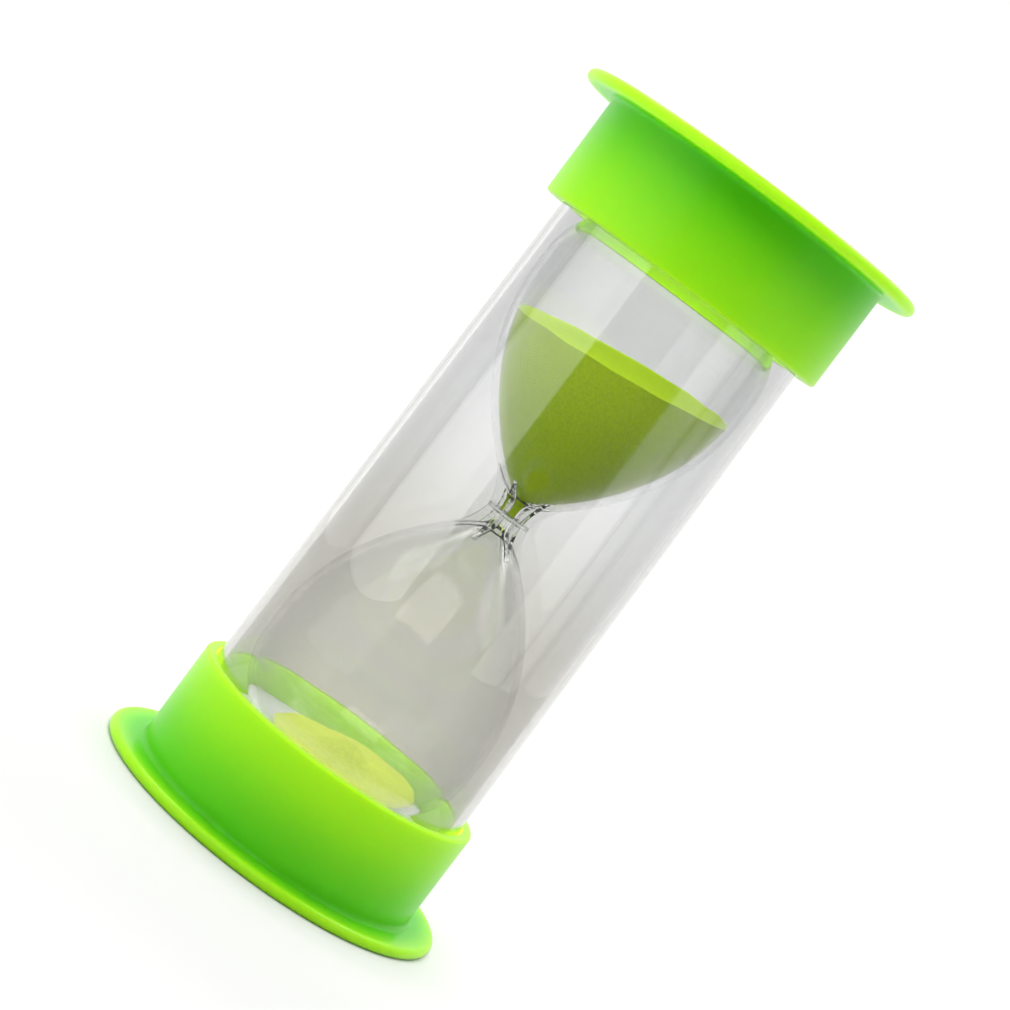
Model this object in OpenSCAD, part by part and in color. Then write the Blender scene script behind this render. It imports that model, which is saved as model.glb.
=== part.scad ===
// Sand timer: two clear bulbs joined at a ribbed neck, held in a clear tube between two moulded end caps.
// Millimetres. +Z runs up the timer's axis, and the origin is the centre of the face it stands on.

/* [Overall] */
// Height from the lower cap's end face to the upper cap's end face
height = 120; // [100:1:160]

/* [Outer tube] */
// Outer diameter of the tube at its lower, wider end
tube_d = 45; // [38:0.5:60]
// Diameter the tube loses from its lower end to its upper end, as moulding draft
tube_taper = 2.7; // [0:0.1:4]
// Wall thickness of the tube
tube_wall = 1.2; // [0.8:0.1:2]
// Radial clearance between the tube and the cap sockets it is pushed into
tube_fit = 0.1; // [0.05:0.05:0.3]

/* [End caps] */
// Height of a cap, end face to rim
cap_h = 18.2; // [14:0.2:26]
// Wall thickness of the lower cap's skirt, round the tube's wide end
cap_wall = 1.75; // [1.2:0.05:3]
// Distance the flange stands out beyond the skirt
flange_overhang = 5.15; // [2:0.05:10]
// Thickness of the flange, whose edge is a full round
flange_t = 1.8; // [1.2:0.1:4]
// Thickness of the cap's floor
floor_t = 1.8; // [1.2:0.1:4]
// Fillet between the flange and the skirt
flange_fillet = 0.9; // [0.3:0.1:2]
// Rounding of the skirt's rim, outside and inside
rim_round = 0.5; // [0.2:0.05:0.55]
// Height of the ribs moulded on the cap's floor, on which the tube and the pad stand
rib_h = 4.2; // [2:0.1:7]
// Thickness of those ribs
rib_t = 1.2; // [0.8:0.1:2]
// Number of those ribs
rib_count = 8; // [4:1:12]
// Outer radius of the ring that joins the ribs in the middle of the floor
rib_ring_r = 6; // [4:0.5:9]

/* [Packing] */
// Thickness of the foam pad between the cap's ribs and the closure
pad_t = 4.9; // [2:0.1:7]
// Radial clearance between the pad and the tube
pad_fit = 0.3; // [0.1:0.05:0.6]
// Thickness of the closure's disc
closure_t = 1.5; // [1:0.1:3]
// Radial clearance between the closure's disc and the tube
closure_fit = 0.15; // [0.05:0.05:0.4]
// Radius of the closure's boss, which plugs the bulb's filling hole
boss_r = 4.85; // [3:0.05:5.5]
// Height of the boss above the disc
boss_h = 1.2; // [0.6:0.1:2.5]
// Radial clearance between the boss and the filling hole
boss_fit = 0.1; // [0.05:0.05:0.3]

/* [Bulbs] */
// Radial gap between a bulb's belly and the tube, at the tube's narrow end
bulb_gap = 0.95; // [0.5:0.05:3]
// Wall thickness of a bulb
bulb_wall = 1; // [0.7:0.05:1.6]
// Length of the straight belly between the dome and the shoulder
belly_h = 3; // [1:0.5:8]
// Length of the rounded shoulder at the bulb's closed end
shoulder_h = 12.6; // [8:0.2:16]
// Radius of the flat foot round the filling hole
foot_r = 6.6; // [6:0.1:9]
// How blunt the dome is where it leaves the neck: 1 is a sine, more is flatter
dome_power = 1.28; // [1:0.02:1.5]

/* [Neck] */
// Radius of the throat through the neck
throat_r = 1.1; // [0.6:0.05:1.6]
// Wall thickness of the neck's stem
stem_wall = 0.7; // [0.6:0.05:1.4]
// Distance from the foot of the dome to the lowest sand above it, through the wall
dome_foot_t = 0.9; // [0.6:0.05:1.4]
// Where the stem's fillet meets the dome, as a share of the way up the dome
fillet_share = 0.04; // [0.02:0.01:0.06]
// Radius of the orifice disc and of the gussets' feet on it
neck_r = 3.6; // [3:0.1:5]
// Distance from the joint between the necks to the foot of the dome
dome_foot_h = 2.6; // [2:0.1:4]
// Number of gussets round each neck
gusset_count = 6; // [4:1:12]
// Turn of the first gusset from +X
gusset_turn = 8; // [0:1:60]
// Thickness of a gusset
gusset_t = 0.7; // [0.4:0.05:1]
// Height of a gusset, from the joint up the dome
gusset_h = 5.3; // [4.5:0.1:6]
// Distance a gusset's edge flares out over its height
gusset_flare = 2.41; // [1.5:0.01:3]
// Thickness of the orifice disc between the necks
orifice_t = 0.6; // [0.3:0.1:1.2]
// Radius of the measured hole in the orifice disc
orifice_r = 0.6; // [0.3:0.05:1]

/* [Sand] */
// Clearance between the sand and the walls round it
sand_gap = 0.05; // [0.02:0.01:0.1]
// Height of the upper sand's surface above the neck joint, on the axis
upper_sand_h = 28; // [12:0.5:29]
// Height of the lower sand's surface above the closure, on the axis
lower_sand_h = 2.8; // [2.5:0.1:8]
// Height of the small mound in the lower sand
mound_h = 3.6; // [1:0.1:5]
// Distance of the mound from the axis, towards +X
mound_x = 1.5; // [0:0.1:3]
// Radius of that mound
mound_r = 5.5; // [4:0.5:9]
// Slope of both sand surfaces, rising towards +X
slope_x = 6.3; // [0:0.1:8]
// Slope of both sand surfaces, rising towards +Y
slope_y = 3.9; // [0:0.1:6]

/* [Hidden] */
$fn = 96;

// Steps along each curved stretch of a bulb's outline
curve_steps = 28;
// Extra length that carries a cutting shape clear past what it cuts
past = 1;

// Heights of the stack in the lower cap; the upper cap repeats it upside down
tube_foot_z = floor_t + rib_h;
pad_top_z = tube_foot_z + pad_t;
closure_top_z = pad_top_z + closure_t;
middle_z = height / 2;

// Radii of the tube at height z, and of what fits round or inside it
function tube_outer(z) =
    (tube_d - tube_taper * (z - tube_foot_z) / (height - 2 * tube_foot_z)) / 2;
function tube_inner(z) = tube_outer(z) - tube_wall;
lower_socket_r = tube_outer(tube_foot_z) + tube_fit;
upper_socket_r = tube_outer(height - cap_h) + tube_fit;
skirt_r = lower_socket_r + cap_wall;
flange_r = skirt_r + flange_overhang;
edge_r = flange_t / 2;

// A bulb is drawn standing up from the neck joint at height 0 to its foot at bulb_len
bulb_len = middle_z - closure_top_z;
bulb_r = tube_inner(height - closure_top_z) - bulb_gap;
shoulder_z = bulb_len - shoulder_h;
dome_top_z = shoulder_z - belly_h;
neck_z = orifice_t / 2;
stem_r = throat_r + stem_wall;
filling_r = boss_r + boss_fit;

// Dome outline, from the point [r0, z0] at the neck out to radius r1 at the belly
function dome(r0, z0, r1) =
    [for (i = [0:curve_steps])
        let (s = i / curve_steps)
        [r0 + (r1 - r0) * sin(90 * s), z0 + (dome_top_z - z0) * pow(s, dome_power)]];

// Slope of that dome's outline, a share s of the way up it
function dome_slope(r0, z0, r1, s) =
    atan((dome_top_z - z0) * dome_power * pow(s, dome_power - 1) / ((r1 - r0) * PI / 2 * cos(90 * s)));

// Outside of a bulb from its neck to the belly: stem, fillet and dome
function neck_and_dome() =
    let (slope = dome_slope(stem_r, dome_foot_h, bulb_r, fillet_share),
         end_r = stem_r + (bulb_r - stem_r) * sin(90 * fillet_share),
         end_z = dome_foot_h + (dome_top_z - dome_foot_h) * pow(fillet_share, dome_power),
         fillet_r = (end_r - stem_r) / (1 - sin(slope)),
         fillet_z = end_z - fillet_r * cos(slope))
    concat([[0, neck_z], [stem_r, neck_z]],
           [for (i = [0:8])
                let (a = 180 - (90 - slope) * i / 8)
                [stem_r + fillet_r + fillet_r * cos(a), fillet_z + fillet_r * sin(a)]],
           [for (p = dome(stem_r, dome_foot_h, bulb_r)) if (p[0] > end_r + 0.05) p]);

// Shoulder outline, a quarter ellipse from radius r1 at the belly in to radius r2 at height z2
function shoulder(r1, r2, z2) =
    [for (i = [0:curve_steps])
        let (a = 90 * i / curve_steps)
        [r2 + (r1 - r2) * cos(a), shoulder_z + (z2 - shoulder_z) * sin(a)]];

// Outline of the space inside a bulb, drawn in by gap on every wall
function bulb_space(gap) =
    concat([[0, neck_z + gap], [throat_r - gap, neck_z + gap]],
           dome(throat_r - gap, dome_foot_h + dome_foot_t + gap, bulb_r - bulb_wall - gap),
           shoulder(bulb_r - bulb_wall - gap, foot_r, bulb_len - bulb_wall - gap),
           [[0, bulb_len - bulb_wall - gap]]);

// Edge of a gusset at height z above the joint, flaring from the orifice disc to the dome
function gusset_edge(z) = neck_r + gusset_flare * pow((z - neck_z) / (gusset_h - neck_z), 1.6);

// A half of the timer, turned over for the upper end
module upside_down() {
    translate([0, 0, height]) mirror([0, 0, 1]) children();
}

// Section of a cap's shell: flange with a round edge, filleted skirt, rounded rim, and socket
module cap_section(socket_r) {
    difference() {
        union() {
            square([flange_r - edge_r, flange_t]);
            translate([flange_r - edge_r, edge_r]) circle(r = edge_r);
            square([skirt_r, cap_h - rim_round]);
            square([skirt_r - rim_round, cap_h]);
            translate([skirt_r - rim_round, cap_h - rim_round]) circle(r = rim_round);
            difference() {
                translate([skirt_r, flange_t]) square(flange_fillet);
                translate([skirt_r + flange_fillet, flange_t + flange_fillet]) circle(r = flange_fillet);
            }
        }
        translate([-past, floor_t]) square([socket_r + past, cap_h]);
        difference() {
            translate([socket_r, cap_h - rim_round]) square(rim_round);
            translate([socket_r + rim_round, cap_h - rim_round]) circle(r = rim_round);
        }
        translate([-past, -past]) square([past, cap_h + 2 * past]);
    }
}

// A cap with its socket, standing on its end face
module cap(socket_r) {
    // ribs reach this far into the skirt's wall and the floor
    root = 0.4;
    rotate_extrude() cap_section(socket_r);
    difference() {
        translate([0, 0, floor_t - root]) cylinder(r = rib_ring_r, h = rib_h + root);
        translate([0, 0, floor_t]) cylinder(r = rib_ring_r - rib_t, h = rib_h + past);
    }
    for (i = [0:rib_count - 1])
        rotate([0, 0, (i + 0.5) * 360 / rib_count])
            translate([rib_ring_r - rib_t / 2, -rib_t / 2, floor_t - root])
                cube([socket_r + root - rib_ring_r + rib_t / 2, rib_t, rib_h + root]);
}

module lower_cap() {
    color("yellowgreen") cap(lower_socket_r);
}

module upper_cap() {
    color("yellowgreen") upside_down() cap(upper_socket_r);
}

module outer_tube() {
    top_z = height - tube_foot_z;
    color([0.85, 0.88, 0.9, 0.3])
        rotate_extrude()
            polygon([[tube_inner(tube_foot_z), tube_foot_z], [tube_outer(tube_foot_z), tube_foot_z],
                     [tube_outer(top_z), top_z], [tube_inner(top_z), top_z]]);
}

// One gusset, a thin web in the plane of the axis
module gusset() {
    edge = [for (i = [0:curve_steps / 2])
                let (z = neck_z + (gusset_h - neck_z) * 2 * i / curve_steps)
                [gusset_edge(z), z]];
    // the web's inner side runs inside the stem and the dome's wall
    inner_r = throat_r + stem_wall / 2;
    rotate([90, 0, 0])
        translate([0, 0, -gusset_t / 2])
            linear_extrude(gusset_t)
                polygon(concat([[inner_r, neck_z]], edge, [[inner_r, dome_foot_h + dome_foot_t / 2]]));
}

// A bulb standing on its neck, open at the throat and at the filling hole
module bulb() {
    rotate_extrude()
        difference() {
            polygon(concat(neck_and_dome(), shoulder(bulb_r, foot_r, bulb_len), [[0, bulb_len]]));
            polygon(bulb_space(0));
            translate([-past, 0]) square([throat_r + past, dome_foot_h]);
            translate([-past, bulb_len - bulb_wall - past]) square([filling_r + past, bulb_wall + 2 * past]);
        }
    for (i = [0:gusset_count - 1])
        rotate([0, 0, gusset_turn + i * 360 / gusset_count]) gusset();
}

module upper_bulb() {
    color([0.88, 0.9, 0.92, 0.35]) translate([0, 0, middle_z]) bulb();
}

module lower_bulb() {
    color([0.88, 0.9, 0.92, 0.35]) translate([0, 0, middle_z]) mirror([0, 0, 1]) bulb();
}

module orifice_disc() {
    color([0.85, 0.88, 0.88, 0.6])
        translate([0, 0, middle_z - orifice_t / 2])
            difference() {
                cylinder(r = neck_r, h = orifice_t);
                translate([0, 0, -past]) cylinder(r = orifice_r, h = orifice_t + 2 * past);
            }
}

// A closure: a disc as wide as the tube allows, with the boss that plugs the bulb
module closure(disc_r) {
    translate([0, 0, pad_top_z]) cylinder(r = disc_r, h = closure_t);
    translate([0, 0, pad_top_z]) cylinder(r = boss_r, h = closure_t + boss_h);
}

module lower_closure() {
    color("white") closure(tube_inner(closure_top_z) - closure_fit);
}

module upper_closure() {
    color("white") upside_down() closure(tube_inner(height - pad_top_z) - closure_fit);
}

module pad(pad_r) {
    translate([0, 0, tube_foot_z]) cylinder(r = pad_r, h = pad_t);
}

module lower_pad() {
    color("ghostwhite") pad(tube_inner(pad_top_z) - pad_fit);
}

module upper_pad() {
    color("ghostwhite") upside_down() pad(tube_inner(height - tube_foot_z) - pad_fit);
}

// Everything below a sloping surface that crosses the axis at height z
module below_surface(z) {
    reach = 2 * height;
    translate([0, 0, z])
        rotate([slope_y, -slope_x, 0])
            translate([-reach / 2, -reach / 2, -reach])
                cube([reach, reach, reach]);
}

module upper_sand() {
    color([0.65, 0.72, 0.12])
        intersection() {
            translate([0, 0, middle_z]) rotate_extrude() polygon(bulb_space(sand_gap));
            below_surface(middle_z + upper_sand_h);
        }
}

module lower_sand() {
    surface_z = closure_top_z + lower_sand_h;
    color([0.82, 0.86, 0.4])
        difference() {
            intersection() {
                translate([0, 0, middle_z]) mirror([0, 0, 1]) rotate_extrude() polygon(bulb_space(sand_gap));
                union() {
                    below_surface(surface_z);
                    translate([mound_x, 0, surface_z - mound_h])
                        cylinder(r1 = 2 * mound_r, r2 = 0, h = 2 * mound_h);
                }
            }
            translate([0, 0, closure_top_z]) cylinder(r = boss_r + sand_gap, h = boss_h + sand_gap);
        }
}

lower_cap();
upper_cap();
outer_tube();
lower_bulb();
upper_bulb();
orifice_disc();
lower_closure();
upper_closure();
lower_pad();
upper_pad();
lower_sand();
upper_sand();
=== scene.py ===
"""Looks of the sand timer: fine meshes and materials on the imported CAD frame, a stage and a camera."""
import math

import bmesh
import bpy
from mathutils import Euler, Matrix, Vector, noise


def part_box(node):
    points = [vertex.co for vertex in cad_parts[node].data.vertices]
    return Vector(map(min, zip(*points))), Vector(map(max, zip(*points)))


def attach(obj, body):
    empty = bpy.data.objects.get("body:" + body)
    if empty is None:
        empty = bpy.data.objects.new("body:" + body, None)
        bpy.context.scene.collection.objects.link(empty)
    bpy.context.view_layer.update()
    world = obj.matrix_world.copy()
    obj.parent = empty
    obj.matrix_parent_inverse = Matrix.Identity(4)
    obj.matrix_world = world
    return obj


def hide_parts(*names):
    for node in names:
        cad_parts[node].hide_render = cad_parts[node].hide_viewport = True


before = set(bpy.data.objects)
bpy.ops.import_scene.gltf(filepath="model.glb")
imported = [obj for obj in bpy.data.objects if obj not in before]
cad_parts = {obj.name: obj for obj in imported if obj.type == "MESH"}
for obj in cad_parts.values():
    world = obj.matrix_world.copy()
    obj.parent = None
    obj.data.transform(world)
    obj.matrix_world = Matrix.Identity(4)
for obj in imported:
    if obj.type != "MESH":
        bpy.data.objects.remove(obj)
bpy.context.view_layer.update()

# ---------------------------------------------------------------- sizes, in metres
MM = 0.001
SEGMENTS = 192          # steps round a turned piece, unless it says otherwise
CURVE_STEPS = 72        # steps along each curved stretch of a bulb
SHARP_DEG = 35          # edges turned by more than this shade sharp

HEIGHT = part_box("upper_cap")[1].z
MIDDLE = HEIGHT / 2
FLANGE_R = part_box("lower_cap")[1].x
CAP_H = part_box("lower_cap")[1].z
TUBE_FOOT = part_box("outer_tube")[0].z
TUBE_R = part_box("outer_tube")[1].x
TUBE_TAPER = 1.35 * MM  # lost in radius over the tube's length
TUBE_WALL = 1.2 * MM
TUBE_FIT = 0.1 * MM
TUBE_ROUND = 0.25 * MM

CAP_WALL = 1.75 * MM
FLANGE_T = 1.8 * MM
FLOOR_T = 1.8 * MM
FLANGE_FILLET = 0.9 * MM
RIM_ROUND = 0.5 * MM
RIB_T = 1.2 * MM
RIB_COUNT = 8
RIB_RING_R = 6 * MM
RIB_ROOT = 0.4 * MM     # depth that a rib runs into the floor and the skirt
RIB_ROUND = 0.12 * MM

PAD_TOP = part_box("lower_pad")[1].z
CLOSURE_TOP = PAD_TOP + 1.5 * MM
BOSS_R = 4.85 * MM
BOSS_H = 1.2 * MM
BOSS_FIT = 0.1 * MM
DISC_ROUND = 0.2 * MM
PAD_ROUND = 0.5 * MM

BULB_LEN = MIDDLE - CLOSURE_TOP
BULB_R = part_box("lower_bulb")[1].x
BULB_WALL = 1.0 * MM
SHOULDER_Z = BULB_LEN - 12.6 * MM
DOME_TOP = SHOULDER_Z - 3.0 * MM
FOOT_R = 6.6 * MM
DOME_POWER = 1.28

THROAT_R = 1.1 * MM
STEM_WALL = 0.7 * MM
STEM_R = THROAT_R + STEM_WALL
FILLET_SHARE = 0.04     # share of the way up the dome where the stem's fillet ends
NECK_R = 3.6 * MM
NECK_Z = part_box("orifice_disc")[1].z - MIDDLE
DOME_FOOT = 2.6 * MM    # height above the neck joint where the dome starts, outside
SPACE_FOOT = 3.5 * MM   # the same inside
GUSSET_COUNT = 6
GUSSET_TURN = math.radians(8)
GUSSET_T = 0.7 * MM
GUSSET_H = 5.3 * MM
GUSSET_FLARE = 2.41 * MM
GUSSET_LIFT = 0.02 * MM
ORIFICE_R = 0.6 * MM
ORIFICE_ROUND = 0.05 * MM

SAND_GAP = 0.05 * MM
UPPER_SAND_H = 28 * MM
LOWER_SAND_H = 2.8 * MM
MOUND_H = 3.6 * MM
MOUND_X = 1.5 * MM
MOUND_R = 5.5 * MM
SLOPE_X = math.tan(math.radians(6.3))
SLOPE_Y = math.tan(math.radians(3.9))
GRAIN_SIZE = 0.45 * MM
SWELL_DEPTH = 0.25 * MM # unevenness of a sand surface

SOCKET_GLOW = 1.4       # emission strength of a cap's socket wall at its rim


# ---------------------------------------------------------------- mesh helpers
def arc(cx, cz, r, start, end, steps=10):
    """Points on a circle from angle start to angle end, in degrees."""
    return [(cx + r * math.cos(math.radians(start + (end - start) * i / steps)),
             cz + r * math.sin(math.radians(start + (end - start) * i / steps)))
            for i in range(steps + 1)]


def flip(outline, about):
    """The outline turned over, so that height z becomes about - z."""
    return [(r, about - z) for r, z in outline]


def held(outline, closed=True, near=0.12 * MM):
    """The outline with points added just inside the ends of long stretches, so that they shade true."""
    points = []
    for a, b in zip(outline, outline[1:] + (outline[:1] if closed else [])):
        a, b = Vector(a), Vector(b)
        points.append(tuple(a))
        if (b - a).length > 8 * near:
            step = (b - a).normalized() * near
            points += [tuple(a + step), tuple(b - step)]
    return points if closed else points + [outline[-1]]


def new_object(name, bm, sharp_deg=SHARP_DEG):
    """A smooth-shaded object made from a bmesh, with its normals outward."""
    bmesh.ops.recalc_face_normals(bm, faces=bm.faces)
    mesh = bpy.data.meshes.new(name)
    bm.to_mesh(mesh)
    bm.free()
    for poly in mesh.polygons:
        poly.use_smooth = True
    mesh.set_sharp_from_angle(angle=math.radians(sharp_deg))
    obj = bpy.data.objects.new(name, mesh)
    bpy.context.scene.collection.objects.link(obj)
    return obj


def lathe(outline, bm=None, segments=SEGMENTS, closed=True):
    """Turns an outline of (radius, height) points about the Z axis into bm."""
    bm = bm or bmesh.new()
    rings = []
    for r, z in held(outline, closed):
        if r < 1e-7:
            rings.append([bm.verts.new((0, 0, z))])
            continue
        rings.append([bm.verts.new((r * math.cos(2 * math.pi * j / segments),
                                    r * math.sin(2 * math.pi * j / segments), z))
                      for j in range(segments)])
    for a, b in zip(rings, rings[1:] + (rings[:1] if closed else [])):
        if len(a) == 1 and len(b) == 1:
            continue
        for j in range(segments):
            k = (j + 1) % segments
            corners = [a[j % len(a)], a[k % len(a)], b[k % len(b)], b[j % len(b)]]
            bm.faces.new(list(dict.fromkeys(corners)))
    return bm


def add_box(bm, low, high, turn):
    """Adds a box between two corners, turned about Z, with slightly rounded edges."""
    made = bmesh.ops.create_cube(bm, size=1)
    size = Vector(high) - Vector(low)
    centre = (Vector(high) + Vector(low)) / 2
    move = Matrix.Rotation(turn, 4, "Z") @ Matrix.Translation(centre) @ Matrix.Diagonal((*size, 1))
    bmesh.ops.transform(bm, matrix=move, verts=made["verts"])
    edges = list({e for v in made["verts"] for e in v.link_edges})
    bmesh.ops.bevel(bm, geom=edges, offset=RIB_ROUND, segments=2, affect="EDGES", profile=0.5)


def unite(obj, tool):
    """Joins tool to obj as one solid."""
    mod = obj.modifiers.new("unite", "BOOLEAN")
    mod.operation, mod.solver, mod.object = "UNION", "EXACT", tool
    mod.use_self = True
    made = bpy.data.meshes.new_from_object(obj.evaluated_get(bpy.context.evaluated_depsgraph_get()))
    obj.modifiers.clear()
    old, obj.data = obj.data, made
    made.name = obj.name
    bpy.data.meshes.remove(old)
    bpy.data.objects.remove(tool)
    for poly in made.polygons:
        poly.use_smooth = True
    made.set_sharp_from_angle(angle=math.radians(SHARP_DEG))
    return obj


# ---------------------------------------------------------------- outlines
def tube_outer(z):
    """Outer radius of the tapered tube at height z."""
    return TUBE_R - TUBE_TAPER * (z - TUBE_FOOT) / (HEIGHT - 2 * TUBE_FOOT)


def dome(r0, z0, r1):
    """A bulb's dome, from the neck out to the belly."""
    return [(r0 + (r1 - r0) * math.sin(math.pi / 2 * i / CURVE_STEPS),
             z0 + (DOME_TOP - z0) * (i / CURVE_STEPS) ** DOME_POWER)
            for i in range(CURVE_STEPS + 1)]


def neck_fillet():
    """Arc from the stem to the outside of the dome, meeting both without a crease."""
    quarter = math.pi / 2
    width = BULB_R - STEM_R
    rise = DOME_TOP - DOME_FOOT
    slope = math.atan(rise * DOME_POWER * FILLET_SHARE ** (DOME_POWER - 1)
                      / (width * quarter * math.cos(quarter * FILLET_SHARE)))
    end_r = STEM_R + width * math.sin(quarter * FILLET_SHARE)
    end_z = DOME_FOOT + rise * FILLET_SHARE ** DOME_POWER
    r = (end_r - STEM_R) / (1 - math.sin(slope))
    return arc(STEM_R + r, end_z - r * math.cos(slope), r, 180, 90 + math.degrees(slope), 20)


def shoulder(r1, r2, z2):
    """A bulb's shoulder, a quarter ellipse from the belly in to the foot."""
    return [(r2 + (r1 - r2) * math.cos(math.pi / 2 * i / CURVE_STEPS),
             SHOULDER_Z + (z2 - SHOULDER_Z) * math.sin(math.pi / 2 * i / CURVE_STEPS))
            for i in range(CURVE_STEPS + 1)]


def bulb_outline():
    """Section of one bulb's wall, as heights above the neck joint."""
    hole = BOSS_R + BOSS_FIT
    inside_foot = BULB_LEN - BULB_WALL
    fillet = neck_fillet()
    dome_start = fillet[-1][0] + 0.05 * MM
    outside = ([(THROAT_R, NECK_Z), (STEM_R, NECK_Z)]
               + fillet
               + [p for p in dome(STEM_R, DOME_FOOT, BULB_R) if p[0] > dome_start]
               + shoulder(BULB_R, FOOT_R, BULB_LEN))
    inside = (dome(THROAT_R, SPACE_FOOT, BULB_R - BULB_WALL)
              + shoulder(BULB_R - BULB_WALL, FOOT_R, inside_foot))
    return outside + [(hole, BULB_LEN), (hole, inside_foot)] + inside[::-1]


def cap_outline(socket_r):
    """Section of a cap's shell, standing on its end face."""
    skirt = tube_outer(TUBE_FOOT) + TUBE_FIT + CAP_WALL
    e = FLANGE_T / 2
    f = FLANGE_FILLET
    k = RIM_ROUND
    return ([(0, 0)] + arc(FLANGE_R - e, e, e, -90, 90, 20)
            + arc(skirt + f, FLANGE_T + f, f, 270, 180)
            + arc(skirt - k, CAP_H - k, k, 0, 90)
            + arc(socket_r + k, CAP_H - k, k, 90, 180)
            + [(socket_r, FLOOR_T), (0, FLOOR_T)])


# ---------------------------------------------------------------- pieces
def build_cap(name, socket_r, upper):
    """A cap with its flange, skirt and socket, and the ring and ribs that carry the tube."""
    bm = lathe(cap_outline(socket_r))
    low = FLOOR_T - RIB_ROOT
    ring = [(RIB_RING_R - RIB_T, low), (RIB_RING_R, low),
            (RIB_RING_R, TUBE_FOOT), (RIB_RING_R - RIB_T, TUBE_FOOT)]
    lathe(ring, bm, 64)
    for i in range(RIB_COUNT):
        add_box(bm, (RIB_RING_R - RIB_T / 2, -RIB_T / 2, low),
                (socket_r + RIB_ROOT, RIB_T / 2, TUBE_FOOT), 2 * math.pi * (i + 0.5) / RIB_COUNT)
    if upper:
        bmesh.ops.transform(bm, verts=bm.verts,
                            matrix=Matrix.Translation((0, 0, HEIGHT)) @ Matrix.Diagonal((1, 1, -1, 1)))
    return new_object(name, bm)


def build_tube():
    """The clear tapered tube, with its ends' edges rounded."""
    top = HEIGHT - TUBE_FOOT
    k = TUBE_ROUND
    foot_out = tube_outer(TUBE_FOOT)
    top_out = tube_outer(top)
    foot_in = foot_out - TUBE_WALL
    top_in = top_out - TUBE_WALL
    outline = (arc(foot_in + k, TUBE_FOOT + k, k, 180, 270, 4)
               + arc(foot_out - k, TUBE_FOOT + k, k, 270, 360, 4)
               + arc(top_out - k, top - k, k, 0, 90, 4)
               + arc(top_in + k, top - k, k, 90, 180, 4))
    return new_object("clear_tube", lathe(outline, segments=256))


def gusset_edge(z):
    """Radius of a gusset's flared edge at height z above the neck joint."""
    return NECK_R + GUSSET_FLARE * ((z - NECK_Z) / (GUSSET_H - NECK_Z)) ** 1.6


def build_gussets():
    """The webs round one neck, as closed plates that run inside the stem and the dome."""
    bm = bmesh.new()
    steps = 14
    foot = NECK_Z + GUSSET_LIFT
    heights = [foot + (GUSSET_H - foot) * i / steps for i in range(steps + 1)]
    inner = STEM_R - STEM_WALL / 4
    side = ([(inner, foot)] + [(gusset_edge(z), z) for z in heights]
            + [(inner, (DOME_FOOT + SPACE_FOOT) / 2)])
    for i in range(GUSSET_COUNT):
        turn = Matrix.Rotation(GUSSET_TURN + 2 * math.pi * i / GUSSET_COUNT, 4, "Z")
        back = [bm.verts.new(turn @ Vector((r, -GUSSET_T / 2, z))) for r, z in side]
        front = [bm.verts.new(turn @ Vector((r, GUSSET_T / 2, z))) for r, z in side]
        bm.faces.new(back)
        bm.faces.new(front[::-1])
        for a in range(len(side)):
            b = (a + 1) % len(side)
            bm.faces.new([back[a], front[a], front[b], back[b]])
    return new_object("gussets", bm)


def build_bulbs():
    """The two bulbs: one blown shape with its webs, and the same turned over."""
    upper = unite(new_object("upper_bulb_blown", lathe(bulb_outline())), build_gussets())
    lower = bpy.data.objects.new("lower_bulb_blown", upper.data.copy())
    bpy.context.scene.collection.objects.link(lower)
    upper.data.transform(Matrix.Translation((0, 0, MIDDLE)))
    lower.data.transform(Matrix.Translation((0, 0, MIDDLE)) @ Matrix.Diagonal((1, 1, -1, 1)))
    lower.data.flip_normals()
    return upper, lower


def holed_disc_outline(r, hole, low, high, edge):
    """Section of a disc with a hole, with all its edges rounded."""
    return (arc(hole + edge, low + edge, edge, 180, 270, 4)
            + arc(r - edge, low + edge, edge, 270, 360, 4)
            + arc(r - edge, high - edge, edge, 0, 90, 4)
            + arc(hole + edge, high - edge, edge, 90, 180, 4))


def disc_outline(r, low, high, edge, boss=None):
    """Section of a disc with rounded edges; boss is the radius and the top of a boss on it."""
    outline = ([(0, low)] + arc(r - edge, low + edge, edge, 270, 360, 5)
               + arc(r - edge, high - edge, edge, 0, 90, 5))
    if not boss:
        return outline + [(0, high)]
    boss_r, boss_top = boss
    return (outline + [(boss_r, high)]
            + arc(boss_r - edge, boss_top - edge, edge, 0, 90, 5) + [(0, boss_top)])


def grain(p, scale, depth):
    """Unevenness at a point: smooth noise of this scale and depth."""
    return depth * noise.noise(Vector(p) / scale)


def space_radius(z):
    """Inner radius of a bulb at height z above the neck joint, up to its belly."""
    if z <= SPACE_FOOT:
        return THROAT_R
    s = min(1.0, (z - SPACE_FOOT) / (DOME_TOP - SPACE_FOOT)) ** (1 / DOME_POWER)
    return THROAT_R + (BULB_R - BULB_WALL - THROAT_R) * math.sin(math.pi / 2 * s)


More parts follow.
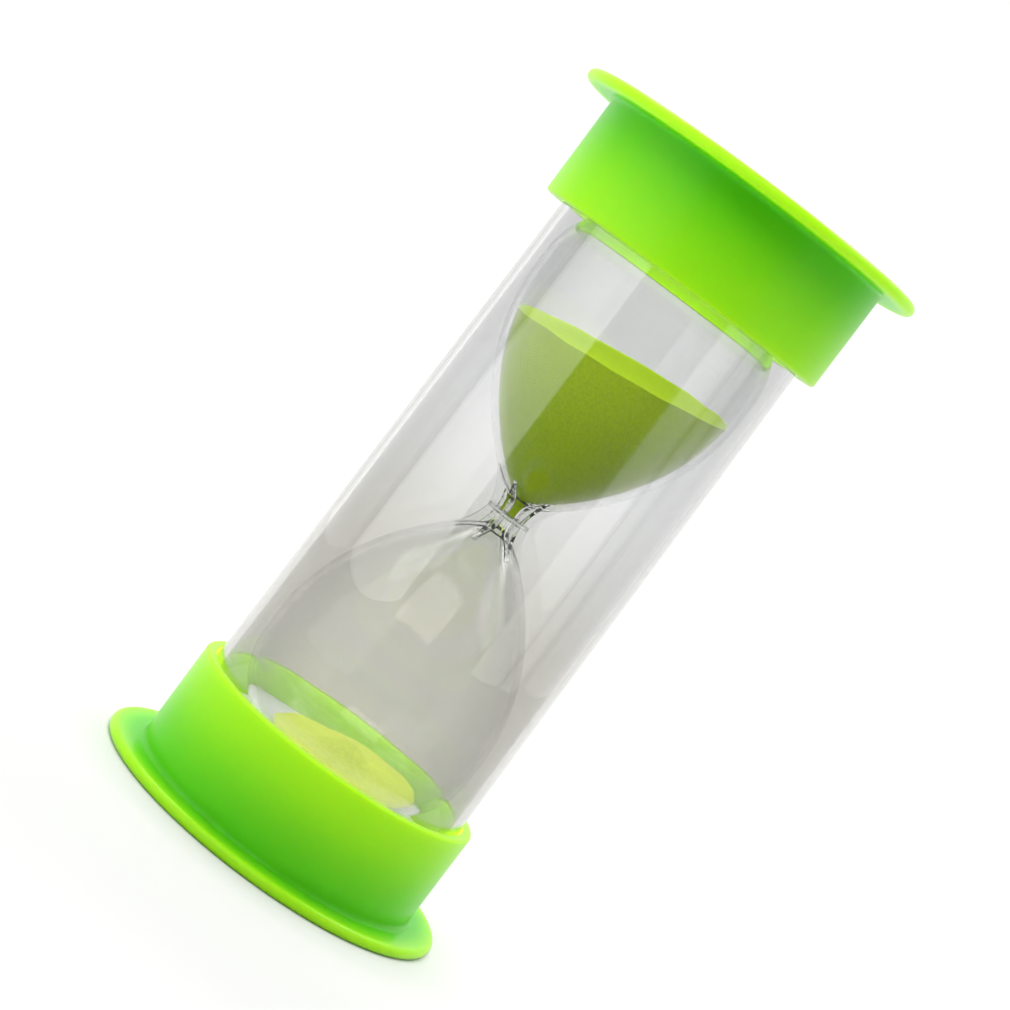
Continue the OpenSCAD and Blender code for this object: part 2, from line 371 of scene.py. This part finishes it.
def build_upper_sand():
    """Sand in the upper bulb: it fills the dome up to a sloping, slightly uneven surface."""
    bm = bmesh.new()
    around, up, across = 240, 90, 60
    bottom = NECK_Z + SAND_GAP

    def surface(x, y):
        return (UPPER_SAND_H + SLOPE_X * x + SLOPE_Y * y
                + grain((x, y, 0), 6 * MM, SWELL_DEPTH) + grain((x, y, 1), GRAIN_SIZE, 0.05 * MM))

    columns = []
    for j in range(around):
        phi = 2 * math.pi * j / around
        cx, cy = math.cos(phi), math.sin(phi)
        r = BULB_R - BULB_WALL
        for _ in range(12):
            r = space_radius(surface(r * cx, r * cy)) - SAND_GAP
        rim = surface(r * cx, r * cy)
        column = []
        for i in range(up + 1):
            z = bottom + (rim - bottom) * (i / up) ** 1.5
            wall = space_radius(z) - SAND_GAP
            if 0 < i < up:
                wall -= abs(grain((wall * cx, wall * cy, z), 0.4 * MM, 0.05 * MM))
            column.append(bm.verts.new((wall * cx, wall * cy, MIDDLE + z)))
        for i in range(1, across):
            q = r * (1 - i / across)
            column.append(bm.verts.new((q * cx, q * cy, MIDDLE + surface(q * cx, q * cy))))
        columns.append(column)
    foot = bm.verts.new((0, 0, MIDDLE + bottom))
    top = bm.verts.new((0, 0, MIDDLE + surface(0, 0)))
    for a, b in zip(columns, columns[1:] + columns[:1]):
        bm.faces.new([foot, b[0], a[0]])
        bm.faces.new([top, a[-1], b[-1]])
        for i in range(len(a) - 1):
            bm.faces.new([a[i], b[i], b[i + 1], a[i + 1]])
    return new_object("upper_sand_grains", bm, 80)


def bowl_height(r):
    """Height of what carries the lower sand at radius r: the closure's boss or the bulb's wall."""
    if r < BOSS_R + BOSS_FIT:
        return CLOSURE_TOP + BOSS_H
    if r <= FOOT_R:
        return CLOSURE_TOP + BULB_WALL
    cosine = min(1.0, (r - FOOT_R) / (BULB_R - BULB_WALL - FOOT_R))
    rise = BULB_LEN - BULB_WALL - SHOULDER_Z
    return MIDDLE - SHOULDER_Z - rise * math.sqrt(1 - cosine * cosine)


def build_lower_sand():
    """Sand in the lower bulb: a sloping layer in the bowl, with a small mound off its middle."""
    bm = bmesh.new()
    around, across = 240, 110
    level = CLOSURE_TOP + LOWER_SAND_H

    def surface(x, y):
        off_peak = math.hypot(x - MOUND_X, y)
        mound = MOUND_H * math.exp(-(off_peak / (0.8 * MOUND_R)) ** 2)
        return (level + SLOPE_X * x + SLOPE_Y * y + mound
                + grain((x, y, 5), 5 * MM, SWELL_DEPTH) + grain((x, y, 6), GRAIN_SIZE, 0.06 * MM))

    columns = []
    for j in range(around):
        phi = 2 * math.pi * j / around
        cx, cy = math.cos(phi), math.sin(phi)
        low, high = FOOT_R, BULB_R - BULB_WALL
        for _ in range(40):
            r = (low + high) / 2
            if surface(r * cx, r * cy) > bowl_height(r) + 2 * SAND_GAP:
                low = r
            else:
                high = r
        rim = low
        under = [rim * i / across for i in range(1, across)]
        column = [bm.verts.new((q * cx, q * cy, bowl_height(q) + SAND_GAP)) for q in under]
        column.append(bm.verts.new((rim * cx, rim * cy, surface(rim * cx, rim * cy))))
        for q in under[::-1]:
            top_z = max(surface(q * cx, q * cy), bowl_height(q) + 2 * SAND_GAP)
            column.append(bm.verts.new((q * cx, q * cy, top_z)))
        columns.append(column)
    foot = bm.verts.new((0, 0, bowl_height(0) + SAND_GAP))
    top = bm.verts.new((0, 0, surface(0, 0)))
    for a, b in zip(columns, columns[1:] + columns[:1]):
        bm.faces.new([foot, b[0], a[0]])
        bm.faces.new([top, a[-1], b[-1]])
        for i in range(len(a) - 1):
            bm.faces.new([a[i], b[i], b[i + 1], a[i + 1]])
    return new_object("lower_sand_grains", bm, 80)


# ---------------------------------------------------------------- materials
def new_material(name):
    """A node material, its node tree and its shader."""
    mat = bpy.data.materials.new(name)
    mat.use_nodes = True
    tree = mat.node_tree
    return mat, tree, tree.nodes["Principled BSDF"]


def add(tree, kind, **values):
    """A new node with these inputs or properties set."""
    node = tree.nodes.new(kind)
    for key, value in values.items():
        if key in node.inputs:
            node.inputs[key].default_value = value
        else:
            setattr(node, key, value)
    return node


def smooth_ramp(tree, value, start, end):
    """A smooth 0 to 1 step of a value from start to end."""
    ramp = add(tree, "ShaderNodeMapRange", interpolation_type="SMOOTHSTEP")
    ramp.inputs["From Min"].default_value = start
    ramp.inputs["From Max"].default_value = end
    tree.links.new(value, ramp.inputs["Value"])
    return ramp.outputs["Result"]


def cap_plastic(name, rim_z, flange_z, socket_r):
    """Dyed translucent plastic, deep green; painted light turns it yellow-green toward its rim and its
    flange's edge, and painted shade leaves it deep green next to the flange.

    The socket's wall glows a little, in place of the daylight that comes through it."""
    mat, tree, bsdf = new_material(name)
    link = tree.links.new
    bsdf.inputs["Roughness"].default_value = 0.32
    bsdf.inputs["Specular IOR Level"].default_value = 0.14
    bsdf.inputs["IOR"].default_value = 1.5
    bsdf.inputs["Subsurface Weight"].default_value = 0.9
    bsdf.inputs["Subsurface Radius"].default_value = (1.0, 0.6, 0.1)
    bsdf.inputs["Subsurface Scale"].default_value = 8 * MM
    place = add(tree, "ShaderNodeTexCoord")
    axes = add(tree, "ShaderNodeSeparateXYZ")
    link(place.outputs["Object"], axes.inputs["Vector"])
    flat = add(tree, "ShaderNodeVectorMath", operation="MULTIPLY")
    flat.inputs[1].default_value = (1, 1, 0)
    link(place.outputs["Object"], flat.inputs[0])
    radius = add(tree, "ShaderNodeVectorMath", operation="LENGTH")
    link(flat.outputs["Vector"], radius.inputs[0])
    # Painted light: yellow-green toward the flange's edge and up the skirt toward the rim, as if lit
    # through the plastic; painted shade next to the flange.
    painted_edge_glow = smooth_ramp(tree, radius.outputs["Value"], FLANGE_R - 4 * MM, FLANGE_R)
    toward_rim = smooth_ramp(tree, axes.outputs["Z"], flange_z, rim_z)
    inside = add(tree, "ShaderNodeMapRange")
    inside.inputs["From Min"].default_value = socket_r + 0.3 * MM
    inside.inputs["From Max"].default_value = socket_r + 0.1 * MM
    inside.inputs["To Max"].default_value = SOCKET_GLOW
    link(radius.outputs["Value"], inside.inputs["Value"])
    socket_only = add(tree, "ShaderNodeMath", operation="MULTIPLY")
    link(inside.outputs["Result"], socket_only.inputs[0])
    link(toward_rim, socket_only.inputs[1])
    link(socket_only.outputs["Value"], bsdf.inputs["Emission Strength"])
    bsdf.inputs["Emission Color"].default_value = (0.36, 0.75, 0.03, 1)
    painted_glow_mask = add(tree, "ShaderNodeMath", operation="MAXIMUM")
    link(painted_edge_glow, painted_glow_mask.inputs[0])
    link(toward_rim, painted_glow_mask.inputs[1])
    flow = add(tree, "ShaderNodeTexNoise", Scale=45.0, Detail=3.0)
    link(place.outputs["Object"], flow.inputs["Vector"])
    streaks = add(tree, "ShaderNodeMath", operation="MULTIPLY_ADD")
    streaks.inputs[1].default_value = 0.25
    streaks.inputs[2].default_value = -0.12
    link(flow.outputs["Fac"], streaks.inputs[0])
    # Painted light plus the moulding's random flow streaks.
    glow = add(tree, "ShaderNodeMath", operation="ADD", use_clamp=True)
    link(painted_glow_mask.outputs["Value"], glow.inputs[0])
    link(streaks.outputs["Value"], glow.inputs[1])
    # Deep green where the cap is painted in shade, yellow-green where it is painted lit.
    tint = add(tree, "ShaderNodeMix", data_type="RGBA")
    tint.inputs["A"].default_value = (0.10, 0.56, 0.006, 1)
    tint.inputs["B"].default_value = (0.28, 0.71, 0.010, 1)
    link(glow.outputs["Value"], tint.inputs["Factor"])
    link(tint.outputs["Result"], bsdf.inputs["Base Color"])
    skin = add(tree, "ShaderNodeTexNoise", Scale=900.0, Detail=2.0)
    bump = add(tree, "ShaderNodeBump", Strength=0.05, Distance=0.05 * MM)
    link(place.outputs["Object"], skin.inputs["Vector"])
    link(skin.outputs["Fac"], bump.inputs["Height"])
    link(bump.outputs["Normal"], bsdf.inputs["Normal"])
    return mat


def clear_plastic(name, tint, mirror, edge=0.75, rough=0.0, ior=1.57, low_shade_tint=None):
    """Clear moulded plastic, a little darker where it is seen along its wall.

    Lamp light passes through it. With low_shade_tint, painted shade turns the plastic to that greyer,
    warmer colour over the lower half of the timer."""
    mat, tree, bsdf = new_material(name)
    bsdf.inputs["Roughness"].default_value = rough
    bsdf.inputs["IOR"].default_value = ior
    facing = add(tree, "ShaderNodeLayerWeight", Blend=0.35)
    depth = add(tree, "ShaderNodeMix", data_type="RGBA")
    depth.inputs["A"].default_value = (*tint, 1)
    depth.inputs["B"].default_value = (*[c * edge for c in tint], 1)
    tree.links.new(facing.outputs["Facing"], depth.inputs["Factor"])
    if low_shade_tint:
        place = add(tree, "ShaderNodeTexCoord")
        axes = add(tree, "ShaderNodeSeparateXYZ")
        tree.links.new(place.outputs["Object"], axes.inputs["Vector"])
        # Painted shade over the lower half of the timer.
        lower = smooth_ramp(tree, axes.outputs["Z"], MIDDLE + 14 * MM, MIDDLE - 22 * MM)
        for socket, share in (("A", 1.0), ("B", edge)):
            grade = add(tree, "ShaderNodeMix", data_type="RGBA")
            grade.inputs["A"].default_value = (*[c * share for c in tint], 1)
            grade.inputs["B"].default_value = (*[c * share for c in low_shade_tint], 1)
            tree.links.new(lower, grade.inputs["Factor"])
            tree.links.new(grade.outputs["Result"], depth.inputs[socket])
    tree.links.new(depth.outputs["Result"], bsdf.inputs["Base Color"])
    bsdf.inputs["Specular Tint"].default_value = (mirror, mirror, mirror, 1)
    bsdf.inputs["Transmission Weight"].default_value = 1.0
    out = tree.nodes["Material Output"]
    path = add(tree, "ShaderNodeLightPath")
    clear = add(tree, "ShaderNodeBsdfTransparent")
    clear.inputs["Color"].default_value = (*[0.95 * math.sqrt(c) for c in tint], 1)
    mix = add(tree, "ShaderNodeMixShader")
    tree.links.new(path.outputs["Is Shadow Ray"], mix.inputs["Fac"])
    tree.links.new(bsdf.outputs["BSDF"], mix.inputs[1])
    tree.links.new(clear.outputs["BSDF"], mix.inputs[2])
    tree.links.new(mix.outputs["Shader"], out.inputs["Surface"])
    return mat


def sand_grains(name, dark, light):
    """Fine dyed sand: a fleck of colour and a bump for each grain."""
    mat, tree, bsdf = new_material(name)
    bsdf.inputs["Roughness"].default_value = 0.85
    bsdf.inputs["Specular IOR Level"].default_value = 0.12
    place = add(tree, "ShaderNodeTexCoord")
    grains = add(tree, "ShaderNodeTexVoronoi", Scale=5500.0)
    tint = add(tree, "ShaderNodeMix", data_type="RGBA")
    tint.inputs["A"].default_value = (*dark, 1)
    tint.inputs["B"].default_value = (*light, 1)
    split = add(tree, "ShaderNodeSeparateColor")
    tree.links.new(place.outputs["Object"], grains.inputs["Vector"])
    tree.links.new(grains.outputs["Color"], split.inputs["Color"])
    tree.links.new(split.outputs["Red"], tint.inputs["Factor"])
    tree.links.new(tint.outputs["Result"], bsdf.inputs["Base Color"])
    bump = add(tree, "ShaderNodeBump", Strength=0.35, Distance=0.08 * MM)
    tree.links.new(grains.outputs["Distance"], bump.inputs["Height"])
    tree.links.new(bump.outputs["Normal"], bsdf.inputs["Normal"])
    return mat


def matt_white(name, colour, cell, depth, rough):
    """Plain matt white, with the fine texture of moulded plastic or foam."""
    mat, tree, bsdf = new_material(name)
    bsdf.inputs["Roughness"].default_value = rough
    place = add(tree, "ShaderNodeTexCoord")
    speckle = add(tree, "ShaderNodeTexNoise", Scale=cell, Detail=4.0)
    tint = add(tree, "ShaderNodeMix", data_type="RGBA")
    tint.inputs["A"].default_value = (*[c * 0.94 for c in colour], 1)
    tint.inputs["B"].default_value = (*colour, 1)
    bump = add(tree, "ShaderNodeBump", Strength=0.3, Distance=depth)
    tree.links.new(place.outputs["Object"], speckle.inputs["Vector"])
    tree.links.new(speckle.outputs["Fac"], tint.inputs["Factor"])
    tree.links.new(tint.outputs["Result"], bsdf.inputs["Base Color"])
    tree.links.new(speckle.outputs["Fac"], bump.inputs["Height"])
    tree.links.new(bump.outputs["Normal"], bsdf.inputs["Normal"])
    return mat


# ---------------------------------------------------------------- assembly
def place_piece(obj, node, material):
    """A piece stands for its CAD node, rides on the root body and wears its material."""
    obj.data.materials.clear()
    obj.data.materials.append(material)
    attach(obj, "root")
    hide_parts(node)


# The tube gets painted shade, greyer and warmer, over its lower half.
tube_clear = clear_plastic("tube_clear", (0.89, 0.895, 0.90), 1.0, edge=0.45,
                           low_shade_tint=(0.71, 0.70, 0.665))
# The two bulbs are one plastic, as lit and shaded copies: the upper has a slightly darker tint and a
# weaker reflection than the lower.
upper_bulb_clear = clear_plastic("upper_bulb_clear", (0.94, 0.945, 0.94), 0.2)
lower_bulb_clear = clear_plastic("lower_bulb_clear", (0.96, 0.965, 0.96), 0.6)
orifice_clear = clear_plastic("orifice_clear", (0.93, 0.96, 0.93), 0.6, rough=0.12)
closure_white = matt_white("closure_white", (0.80, 0.84, 0.83), 700.0, 0.04 * MM, 0.5)
foam_white = matt_white("foam_white", (0.86, 0.87, 0.86), 1400.0, 0.2 * MM, 0.9)
sand_upper_mat = sand_grains("sand_upper", (0.50, 0.76, 0.003), (0.66, 0.92, 0.008))
# The lower sand is the same sand as the upper, painted paler and yellower as a lit copy.
sand_lower_mat = sand_grains("sand_lower", (0.52, 0.68, 0.04), (0.74, 0.84, 0.10))

lower_socket = tube_outer(TUBE_FOOT) + TUBE_FIT
upper_socket = tube_outer(HEIGHT - CAP_H) + TUBE_FIT
lower_lime = cap_plastic("lower_lime", CAP_H, FLANGE_T, lower_socket)
upper_lime = cap_plastic("upper_lime", HEIGHT - CAP_H, HEIGHT - FLANGE_T, upper_socket)
place_piece(build_cap("lower_cap_shell", lower_socket, False), "lower_cap", lower_lime)
place_piece(build_cap("upper_cap_shell", upper_socket, True), "upper_cap", upper_lime)
place_piece(build_tube(), "outer_tube", tube_clear)
upper_bulb, lower_bulb = build_bulbs()
place_piece(lower_bulb, "lower_bulb", lower_bulb_clear)
place_piece(upper_bulb, "upper_bulb", upper_bulb_clear)
place_piece(build_upper_sand(), "upper_sand", sand_upper_mat)
place_piece(build_lower_sand(), "lower_sand", sand_lower_mat)

plate = holed_disc_outline(NECK_R, ORIFICE_R, MIDDLE - NECK_Z, MIDDLE + NECK_Z, ORIFICE_ROUND)
orifice = new_object("orifice_plate", lathe(plate, segments=96))
place_piece(orifice, "orifice_disc", orifice_clear)
for end in ("lower", "upper"):
    closure_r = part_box(end + "_closure")[1].x
    pad_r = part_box(end + "_pad")[1].x
    disc = disc_outline(closure_r, PAD_TOP, CLOSURE_TOP, DISC_ROUND, (BOSS_R, CLOSURE_TOP + BOSS_H))
    foam = disc_outline(pad_r, TUBE_FOOT, PAD_TOP, PAD_ROUND)
    if end == "upper":
        disc = flip(disc, HEIGHT)
        foam = flip(foam, HEIGHT)
    closure = new_object(end + "_closure_disc", lathe(disc))
    place_piece(closure, end + "_closure", closure_white)
    pad = new_object(end + "_foam_pad", lathe(foam))
    place_piece(pad, end + "_pad", foam_white)


# ---------------------------------------------------------------- stage, light and camera
STAGE_R = 1.6
STAGE_SWEEP = 0.6
STAGE_H = 2.4


def build_stage():
    """A round floor that sweeps up into a wall all round: pale, with painted shade that turns it darker
    grey toward the camera's side.
    """
    line = ([(0, 0), (0.05, 0), (0.2, 0), (0.6, 0)]
            + arc(STAGE_R - STAGE_SWEEP, STAGE_SWEEP, STAGE_SWEEP, 270, 360, 16) + [(STAGE_R, STAGE_H)])
    stage = new_object("stage_sweep", lathe(line, segments=96, closed=False))
    mat, tree, bsdf = new_material("stage_pale_painted_front_shade")
    place = add(tree, "ShaderNodeTexCoord")
    axes = add(tree, "ShaderNodeSeparateXYZ")
    # Painted shade: the floor and wall turn darker grey toward the camera's side, from 0.45 m to 1 m in
    # front.
    paint = add(tree, "ShaderNodeMix", data_type="RGBA")
    paint.inputs["A"].default_value = (0.70, 0.70, 0.69, 1)
    paint.inputs["B"].default_value = (0.28, 0.28, 0.28, 1)
    tree.links.new(place.outputs["Object"], axes.inputs["Vector"])
    tree.links.new(smooth_ramp(tree, axes.outputs["Y"], -0.45, -1.0), paint.inputs["Factor"])
    tree.links.new(paint.outputs["Result"], bsdf.inputs["Base Color"])
    bsdf.inputs["Roughness"].default_value = 1.0
    bsdf.inputs["Specular IOR Level"].default_value = 0.0
    stage.data.materials.append(mat)


def add_area(name, at, size, glow, aim=(0, 0, 0.06)):
    """A softbox of the given radiance that lights the scene but isn't seen by the camera."""
    light = bpy.data.lights.new(name, "AREA")
    light.shape = "RECTANGLE"
    light.size, light.size_y = size
    light.energy = math.pi * size[0] * size[1] * glow
    obj = bpy.data.objects.new(name, light)
    bpy.context.scene.collection.objects.link(obj)
    obj.location = at
    obj.rotation_euler = (Vector(aim) - Vector(at)).to_track_quat("-Z", "Y").to_euler()
    obj.visible_camera = False
    return obj


def side_box(name, azimuth, width, glow, distance=0.35, low=0.0, high=0.42):
    """An upright softbox beside the object: azimuth 0 is the camera's side, and positive is right."""
    a = math.radians(azimuth)
    z = (low + high) / 2
    at = (distance * math.sin(a), -distance * math.cos(a), z)
    return add_area(name, at, (width, high - low), glow, aim=(0, 0, z))


build_stage()
world = bpy.data.worlds.new("studio")
bpy.context.scene.world = world
world.use_nodes = True
world.node_tree.nodes["Background"].inputs["Color"].default_value = (0.9, 0.95, 1.0, 1)
world.node_tree.nodes["Background"].inputs["Strength"].default_value = 0.05

side_box("left_box", -57, 0.40, 1.3)
side_box("left_back_box", -120, 0.34, 0.35)
side_box("right_box", 61, 0.16, 0.8)
side_box("right_mid_box", 83, 0.08, 0.6)
side_box("right_back_box", 118, 0.26, 0.35)
add_area("key_box", (-0.06, -0.32, 0.46), (0.4, 0.3), 3.6)
add_area("left_top_box", (-0.36, 0.02, 0.5), (0.3, 0.3), 2.5)
add_area("right_top_box", (0.36, 0.02, 0.5), (0.3, 0.3), 2.0)
add_area("rim_box", (0.05, 0.32, 0.5), (0.5, 0.3), 1.6)
add_area("back_wash", (0, 0.7, 1.2), (1.6, 0.8), 5.6, aim=(0, 1.25, 0.1))

# Lights the upper sand alone, in place of the daylight that comes in through the cap's plastic.
inner_light = add_area("inner_light", (-0.12, 0.06, 0.5), (0.3, 0.3), 7.0)
inner_pieces = bpy.data.collections.new("inner_pieces")
inner_pieces.objects.link(bpy.data.objects["upper_sand_grains"])
inner_light.light_linking.receiver_collection = inner_pieces
inner_light.light_linking.blocker_collection = inner_pieces

CAMERA_DISTANCE = 0.38635
CAMERA_HEIGHT = 0.09348
CAMERA_PITCH = 4.81
CAMERA_YAW = 0.21
CAMERA_ROLL = 36.85
CAMERA_LENS = 93.4
camera = bpy.data.objects.new("camera", bpy.data.cameras.new("camera"))
bpy.context.scene.collection.objects.link(camera)
camera.data.lens = CAMERA_LENS
camera.data.sensor_width = 36
camera.data.clip_start = 0.01
camera.data.clip_end = 20
camera.location = (0, -CAMERA_DISTANCE, CAMERA_HEIGHT)
aim = Euler((math.radians(90 - CAMERA_PITCH), 0, math.radians(CAMERA_YAW))).to_matrix()
camera.rotation_euler = (aim @ Matrix.Rotation(math.radians(CAMERA_ROLL), 3, "Z")).to_euler()
bpy.context.scene.camera = camera

scene = bpy.context.scene
scene.view_settings.view_transform = "Standard"
scene.cycles.max_bounces = 24
scene.cycles.transmission_bounces = 24
scene.cycles.glossy_bounces = 8
scene.cycles.transparent_max_bounces = 24
